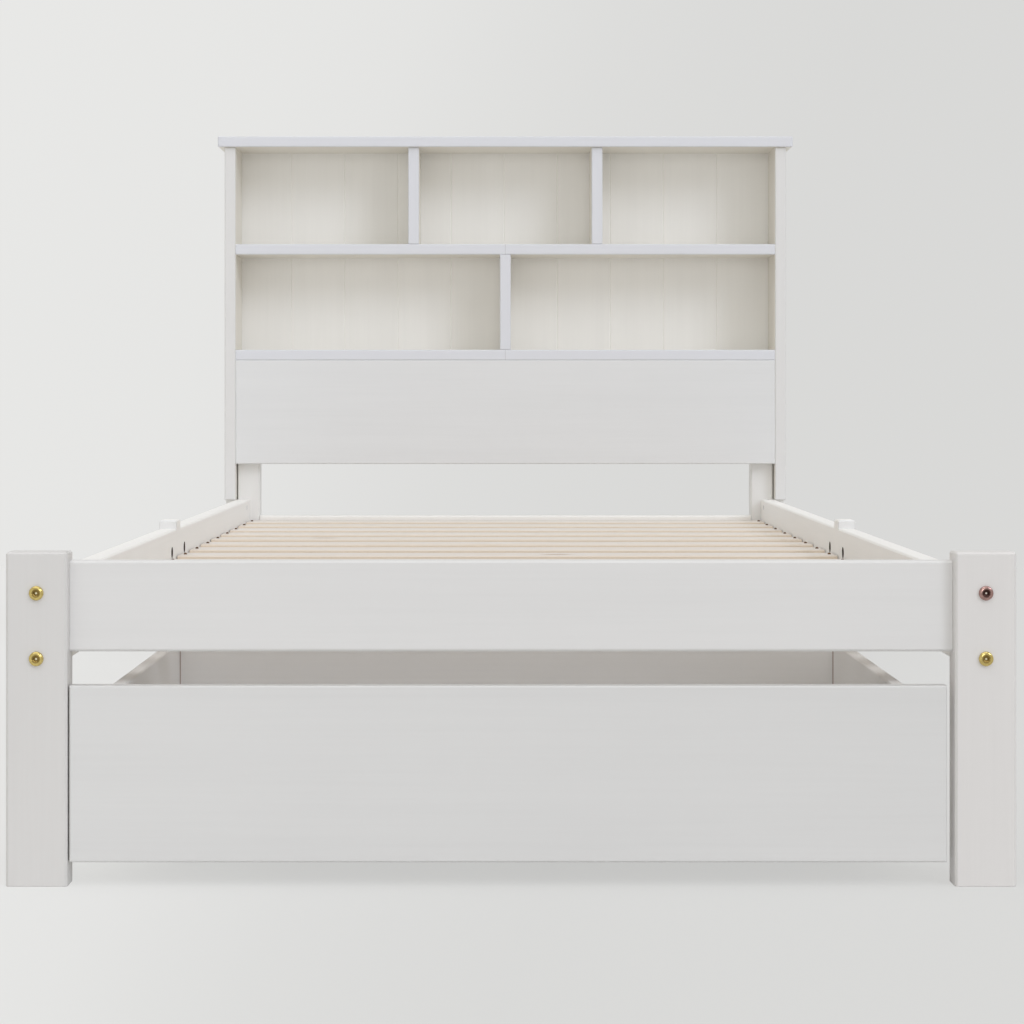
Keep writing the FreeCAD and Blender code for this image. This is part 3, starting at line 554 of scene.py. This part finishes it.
def model_bolt():
    """One bolt with its head's seat at the origin, head towards -Y and shank along +Y."""
    bolt = turned_rod("bolt_pattern", BOLT_HEAD_RADIUS, BOLT_HEAD_HEIGHT, sides=48)
    select_faces(bolt, lambda centre, normal: normal.y < -STRAIGHT)
    bpy.ops.mesh.bevel(offset=BOLT_CROWN, segments=5, profile=0.62, affect="EDGES")
    select_faces(bolt, lambda centre, normal: normal.y > STRAIGHT)
    bpy.ops.mesh.inset(thickness=BOLT_HEAD_RADIUS - BOLT_SHANK_RADIUS)
    bpy.ops.mesh.extrude_region_move(TRANSFORM_OT_translate={"value": (0, BOLT_LENGTH, 0)})
    bpy.ops.mesh.select_all(action="SELECT")
    slide_back(BOLT_HEAD_HEIGHT)
    finish_edit()
    socket = turned_rod("socket", SOCKET_FLATS / math.sqrt(3), 2 * SOCKET_DEPTH, sides=6)
    slide_back(BOLT_HEAD_HEIGHT + SOCKET_DEPTH)
    finish_edit()
    carve(bolt, socket)
    return bolt


def place_copies(pattern, name, places):
    """Copies of a pattern, one per matrix, as pieces with meshes of their own."""
    pieces = []
    for number, matrix in enumerate(places, start=1):
        mesh = pattern.data.copy()
        mesh.transform(matrix)
        piece = bpy.data.objects.new("%s_%02d" % (name, number), mesh)
        bpy.context.collection.objects.link(piece)
        pieces.append(piece)
    bpy.data.objects.remove(pattern)
    return pieces


leg_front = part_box("foot_leg_right")[0][1]
post_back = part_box("head_leg_right")[1][1]
bolts_low, bolts_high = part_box("rail_bolts")
bolt_x = bolts_high[0] - BOLT_HEAD_RADIUS
bolt_heights = (bolts_low[2] + BOLT_HEAD_RADIUS, bolts_high[2] - BOLT_HEAD_RADIUS)
bolt_middle = (bolt_heights[0] + bolt_heights[1]) / 2
turned_about = Matrix.Rotation(math.pi, 4, "Z")
bolt_places = []
for side in (-1, 1):
    for height in bolt_heights:
        bolt_places.append(Matrix.Translation((side * bolt_x, leg_front, height)))
        bolt_places.append(Matrix.Translation((side * bolt_x, post_back, height)) @ turned_about)


def bolt_plate(name, rim, dark_reflection, pit):
    """Bright plate on the rim, darker in patches, a painted dark reflection in a ring round the
    socket, and a pale spot at its bottom.
    """
    material, place = new_finish(name)
    beside = place.along(ACROSS).away_from(0).away_from(bolt_x)
    above = place.along(UP).away_from(bolt_middle).away_from(bolt_heights[1] - bolt_middle)
    reach = distance(beside, above)
    patch = place.noise(scale=380.0, detail=3.0).span(0.4, 0.75)
    plate = (patch * 0.35).mix(opaque(rim), opaque(dark_reflection))
    head = reach.span(*DARK_REFLECTION_FADE).mix(opaque(dark_reflection), plate)
    soft = softened(place, BOLT_EDGE_RADIUS)
    return close_finish(material, {
        "Base Color": (1 - reach.span(*PIT_FADE)).mix(head, opaque(pit)),
        "Metallic": 1.0,
        "Roughness": 0.10 + 0.12 * patch,
        "Normal": place.noise(scale=900.0).bump(strength=0.03, depth=0.0001, under=soft),
    })


yellow_zinc = bolt_plate("yellow_zinc", **YELLOW_PLATE)
dark_copper = bolt_plate("dark_copper", **COPPER_PLATE)
for bolt in place_copies(model_bolt(), "rail_bolt", bolt_places):
    bolt.data.materials.append(dark_copper if bolt.name == REPLACED_BOLT else yellow_zinc)
    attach(bolt, "frame")
    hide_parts("rail_bolts")


# ---- Slat screws ----
# Round-headed screws in a dark brown plate, one through each end of each slat into the ledger.
# Their heads stand on the slats.

SCREW_RADIUS = 0.0028
SCREW_HEIGHT = 0.0028
SCREW_DOME = 0.85
CROSS_LENGTH = 0.0036
CROSS_WIDTH = 0.0008
CROSS_DEPTH = 0.0012
CROSS_TURN_PER_METRE = 20
SCREW_BROWN = (0.16, 0.09, 0.05)
SCREW_WORN = (0.07, 0.045, 0.03)


def model_screw():
    """A domed screw head with a cross recess, seated at the origin and pointing towards -Y."""
    screw = turned_rod("screw_pattern", SCREW_RADIUS, SCREW_HEIGHT, sides=20)
    select_faces(screw, lambda centre, normal: normal.y < -STRAIGHT)
    bpy.ops.mesh.bevel(offset=SCREW_HEIGHT * SCREW_DOME, segments=4, affect="EDGES")
    bpy.ops.mesh.select_all(action="SELECT")
    slide_back(SCREW_HEIGHT)
    finish_edit()
    for long_x, long_z in ((CROSS_LENGTH, CROSS_WIDTH), (CROSS_WIDTH, CROSS_LENGTH)):
        bpy.ops.mesh.primitive_cube_add(size=1, location=(0, -SCREW_HEIGHT, 0))
        recess = bpy.context.object
        bpy.ops.transform.resize(value=(long_x, 2 * CROSS_DEPTH, long_z))
        bpy.ops.object.transform_apply(location=True, rotation=True, scale=True)
        bpy.ops.object.select_all(action="DESELECT")
        carve(screw, recess)
    return screw


def screw_set(name, places, material):
    """Screws of one set, one per matrix, joined into one piece."""
    screws = place_copies(model_screw(), name, places)
    for screw in screws:
        screw.select_set(True)
    bpy.context.view_layer.objects.active = screws[0]
    bpy.ops.object.join()
    bpy.ops.object.select_all(action="DESELECT")
    screws[0].name = name
    screws[0].data.materials.append(material)
    return screws[0]


facing_up = Matrix.Rotation(math.radians(-90), 4, "X")
slat_screw_places = []
for slat in SLATS:
    for number, side in enumerate(SIDES):
        ledger_x = middle("slat_ledger_" + side).x
        seat = Vector((ledger_x, middle(slat).y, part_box(slat)[1][2]))
        turn = Matrix.Rotation(seat.y * CROSS_TURN_PER_METRE + number, 4, "Z")
        slat_screw_places.append(Matrix.Translation(seat) @ turn @ facing_up)
brown_plate = plated("brown_plate", SCREW_BROWN, SCREW_WORN, roughness=0.42)
slat_screws = screw_set("slat_screws", slat_screw_places, brown_plate)
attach(slat_screws, "frame")


# ---- Drawer ----
# A loose box on castors: a plain front, two sides and a back, sprayed white, round a thin board
# floor. Two painted battens under the floor take the castors.

FRONT_WHITE = (0.72, 0.713, 0.703)
# The box's white is lighter than the front's: painted light that lifts the shade inside the
# drawer.
BOX_LIT_WHITE = (0.95, 0.935, 0.92)
FLOOR_WHITE = (0.90, 0.89, 0.87)
CORNER_LINE_BROWN = (0.50, 0.40, 0.37)
CORNER_LINE_INSET = 0.0007
CORNER_LINE_FADE = (0.0006, 0.0009)
drawer_x = middle("drawer_back").x
box_half_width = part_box("drawer_side_right")[0][0] - drawer_x


def corner_line(place):
    """1 on a thin line on the back, by the corners where it meets the drawer's sides."""
    beside = place.along(ACROSS).away_from(drawer_x).away_from(box_half_width - CORNER_LINE_INSET)
    return front_edge(place) * (1 - beside.span(*CORNER_LINE_FADE))


corner_marks = [(corner_line, CORNER_LINE_BROWN)]
dress(["drawer_front"], painted("drawer_front_paint", FRONT_WHITE, ACROSS))
dress(["drawer_bearers"], painted("drawer_bearer_paint", BOX_LIT_WHITE, ACROSS))
dress(["drawer_back"], painted("drawer_back_paint", BOX_LIT_WHITE, ACROSS, corner_marks))
dress(["drawer_side_" + side for side in SIDES],
      painted("drawer_side_paint", BOX_LIT_WHITE, LENGTHWAYS))
dress(["drawer_floor"], painted("drawer_floor_face", FLOOR_WHITE, ACROSS))


# ---- Castors ----
# Pressed and plated forks, a pin pressed through each, and moulded grey wheels.
# They stand under the drawer, out of sight from the foot.

WHEEL_GREY = (0.10, 0.10, 0.105)
SCUFF_TINT = 1.8
MOULDED_EDGE_RADIUS = 0.0008
WHEEL_EDGE = 0.0028
WHEEL_RIM = 0.0030
WHEEL_DISH = 0.0016
AXLE_BORE = 0.00255
PLATE_Z = 0.040
PLATE_SCREW_X = 0.019
PLATE_SCREW_Y = 0.012
CORNERS = ["%s_%s" % (row, side) for row in ("front", "rear") for side in SIDES]

dress(["castor_brackets", "castor_axles"], bright_zinc)


def moulded(name, colour):
    """Moulded plastic with a fine texture and scuffs."""
    material, place = new_finish(name)
    soft = softened(place, MOULDED_EDGE_RADIUS)
    scuff = place.noise(scale=160.0, detail=4.0).span(0.5, 0.75)
    worn = scuff * 0.5 + sharp_edges(soft) * 0.2
    return close_finish(material, {
        "Base Color": worn.mix(opaque(colour), opaque(part * SCUFF_TINT for part in colour)),
        "Roughness": 0.5 + 0.2 * scuff,
        "Normal": place.noise(scale=1400.0).bump(strength=0.2, depth=0.0001, under=soft),
    })


def model_wheel(radius, width):
    """One wheel round the Y axis: rounded tread, dished sides and a hub bored for the axle."""
    wheel = turned_rod("wheel_pattern", radius, width, sides=56)
    bpy.ops.mesh.select_all(action="SELECT")
    slide_back(width / 2)
    select_faces(wheel, lambda centre, normal: abs(normal.y) > STRAIGHT)
    bpy.ops.mesh.bevel(offset=WHEEL_EDGE, segments=4, affect="EDGES")
    hub_reach = radius / 2
    select_faces(
        wheel, lambda centre, normal: abs(normal.y) > 0.99 and centre.xz.length < hub_reach
    )
    bpy.ops.mesh.inset(thickness=WHEEL_RIM)
    bpy.ops.mesh.inset(thickness=WHEEL_DISH / 2, depth=-WHEEL_DISH)
    bpy.ops.mesh.inset(thickness=radius / 4)
    bpy.ops.mesh.inset(thickness=WHEEL_DISH / 2, depth=WHEEL_DISH)
    finish_edit()
    bore = turned_rod("bore", AXLE_BORE, 2 * width, sides=24)
    slide_back(width)
    finish_edit()
    carve(wheel, bore)
    return wheel


wheel_low, wheel_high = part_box("castor_wheel_front_left")
across_bed = Matrix.Rotation(math.radians(90), 4, "Z")
wheel_places = [
    Matrix.Translation(middle("castor_wheel_" + corner)) @ across_bed for corner in CORNERS
]
wheel_grey = moulded("wheel_grey", WHEEL_GREY)
wheel_pattern = model_wheel((wheel_high[2] - wheel_low[2]) / 2, wheel_high[0] - wheel_low[0])
for corner, wheel in zip(CORNERS, place_copies(wheel_pattern, "wheel", wheel_places)):
    wheel.name = "wheel_" + corner
    wheel.data.materials.append(wheel_grey)
    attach(wheel, "wheel_" + corner)
    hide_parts("castor_wheel_" + corner)

facing_down = Matrix.Rotation(math.radians(90), 4, "X")
plate_screw_places = []
for corner in CORNERS:
    centre = middle("castor_wheel_" + corner)
    for x in (-PLATE_SCREW_X, PLATE_SCREW_X):
        for y in (-PLATE_SCREW_Y, PLATE_SCREW_Y):
            seat = Vector((centre.x + x, centre.y + y, PLATE_Z))
            plate_screw_places.append(Matrix.Translation(seat) @ facing_down)
plate_screws = screw_set("castor_screws", plate_screw_places, bright_zinc)
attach(plate_screws, "drawer")


# ---- Floor ----
# A plain pale studio floor, matt, which keeps the bed's soft shadow.
# It runs without an edge into the backdrop, which is paler to the left and above.

CAMERA_PLACE = Vector((-0.0154, -3.6907, 0.5708))
FOCAL_PIXELS = 2210.4
PRINCIPAL_X = 498.0
PRINCIPAL_Y = 399.6
FRAME_PIXELS = 1024
SLANT = 0.379
BACKDROP_TONES = (
    (20, 232), (320, 230), (425, 228), (535, 224), (625, 221), (725, 219), (880, 217),
)
BACKDROP_BLUE = 0.984
TONE_SPAN = 1000.0
LEAST_AHEAD = 0.2
FLOOR_GLOW = 0.78
FLOOR_LIGHT = 0.93
FLOOR_CENTRE_Y = -2.1
FLOOR_WIDTH = 14.0
FLOOR_LENGTH = 11.8


def linear(tone):
    """Light of a screen tone from 0 to 255."""
    return ((tone / 255 + 0.055) / 1.055) ** 2.4


def backdrop_colour(direction):
    """Backdrop tone in one direction from the camera's place, along a slant line of tones."""
    ahead = direction.sum("MAXIMUM", direction.along(LENGTHWAYS), LEAST_AHEAD)
    right = direction.along(ACROSS) / ahead * FOCAL_PIXELS + PRINCIPAL_X
    down = PRINCIPAL_Y - direction.along(UP) / ahead * FOCAL_PIXELS
    stops = []
    for place, tone in BACKDROP_TONES:
        light = linear(tone)
        stops.append((place / TONE_SPAN, (light, light, light * BACKDROP_BLUE, 1.0)))
    way = (right + down * SLANT) / TONE_SPAN
    return direction.node("ValToRGB", {"stops": stops}, {"Fac": way})


def straight_rays(start):
    """1 for what the camera sees straight, in a mirror or through glass, else 0."""
    seen = start.node("LightPath", {}, {}, "Is Camera Ray")
    mirrored = start.node("LightPath", {}, {}, "Is Glossy Ray")
    through = start.node("LightPath", {}, {}, "Is Transmission Ray")
    return (seen + mirrored + through).span(0.0, 1.0)


bpy.ops.mesh.primitive_plane_add(size=1, location=(0, FLOOR_CENTRE_Y, 0))
floor = bpy.context.object
floor.name = "floor"
bpy.ops.object.mode_set(mode="EDIT")
bpy.ops.transform.resize(value=(FLOOR_WIDTH, FLOOR_LENGTH, 1.0))
bpy.ops.object.mode_set(mode="OBJECT")
bpy.ops.object.transform_apply(location=True, rotation=True, scale=True)
bpy.ops.object.select_all(action="DESELECT")

floor_paint, floor_place = new_finish("floor")
tone = backdrop_colour(floor_place.vector_sum("SUBTRACT", CAMERA_PLACE))
lift = opaque([1 / FLOOR_LIGHT] * 3)
lifted = tone.node("Mix", {"data_type": "RGBA", "blend_type": "MULTIPLY"},
                   {0: 1.0, 6: tone, 7: lift}, 2)
matt = lifted.node("BsdfDiffuse", {}, {"Color": lifted})
glow = tone.node("Emission", {}, {"Color": tone, "Strength": 1.0})
glow_share = straight_rays(tone) * FLOOR_GLOW
floor_surface = tone.node("MixShader", {}, {0: glow_share, 1: matt, 2: glow})
floor_surface.node("OutputMaterial", {}, {"Surface": floor_surface})
floor.data.materials.append(floor_paint)


# ---- Light ----
# An even pale studio: a soft sky, a light from the front right, a weak one low in front
# and a wide one above. Each lamp has the way towards it, its strength, its spread and its tint.

SKY = 0.585
SKY_TINT = (1.0, 0.986, 0.95)
LAMPS = (
    ("key_light", Vector((0.61, -0.625, 0.494)), 0.64, 22, (0.945, 0.992, 1.12)),
    ("fill_light", Vector((0.02, -0.99, 0.115)), 0.12, 12, (1.0, 1.0, 1.0)),
    ("top_light", Vector((-0.12, -0.32, 0.94)), 0.90, 60, (0.985, 1.0, 1.03)),
)
for name, towards, strength, spread, tint in LAMPS:
    lamp = bpy.data.lights.new(name, "SUN")
    lamp.energy = strength
    lamp.color = tint
    lamp.angle = math.radians(spread)
    holder = bpy.data.objects.new(name, lamp)
    holder.rotation_euler = towards.to_track_quat("Z", "Y").to_euler()
    bpy.context.collection.objects.link(holder)

world = bpy.data.worlds.new("studio")
bpy.context.scene.world = world
world.use_nodes = True
world.node_tree.nodes.clear()
sky = Shade(world.node_tree)
outward = sky.node("TexCoord", {}, {}, "Generated")
skylight = sky.node("Background", {}, {"Color": opaque(SKY_TINT), "Strength": SKY})
backdrop = sky.node("Background", {}, {"Color": backdrop_colour(outward), "Strength": 1.0})
all_round = sky.node("MixShader", {}, {0: straight_rays(sky), 1: skylight, 2: backdrop})
sky.node("OutputWorld", {}, {"Surface": all_round})


# ---- Camera ----
# It stands 2.6 m in front of the foot, 0.57 m above the floor, and looks level along the bed.
# Its picture is shifted a little up and to the side, as the photograph's is.

camera_data = bpy.data.cameras.new("camera")
camera_data.sensor_width = 36.0
camera_data.lens = camera_data.sensor_width * FOCAL_PIXELS / FRAME_PIXELS
camera_data.shift_x = (FRAME_PIXELS / 2 - PRINCIPAL_X) / FRAME_PIXELS
camera_data.shift_y = (PRINCIPAL_Y - FRAME_PIXELS / 2) / FRAME_PIXELS
camera = bpy.data.objects.new("camera", camera_data)
camera.location = CAMERA_PLACE
camera.rotation_euler = (math.pi / 2, 0, 0)
bpy.context.collection.objects.link(camera)
bpy.context.scene.camera = camera
bpy.context.scene.view_settings.view_transform = "Standard"
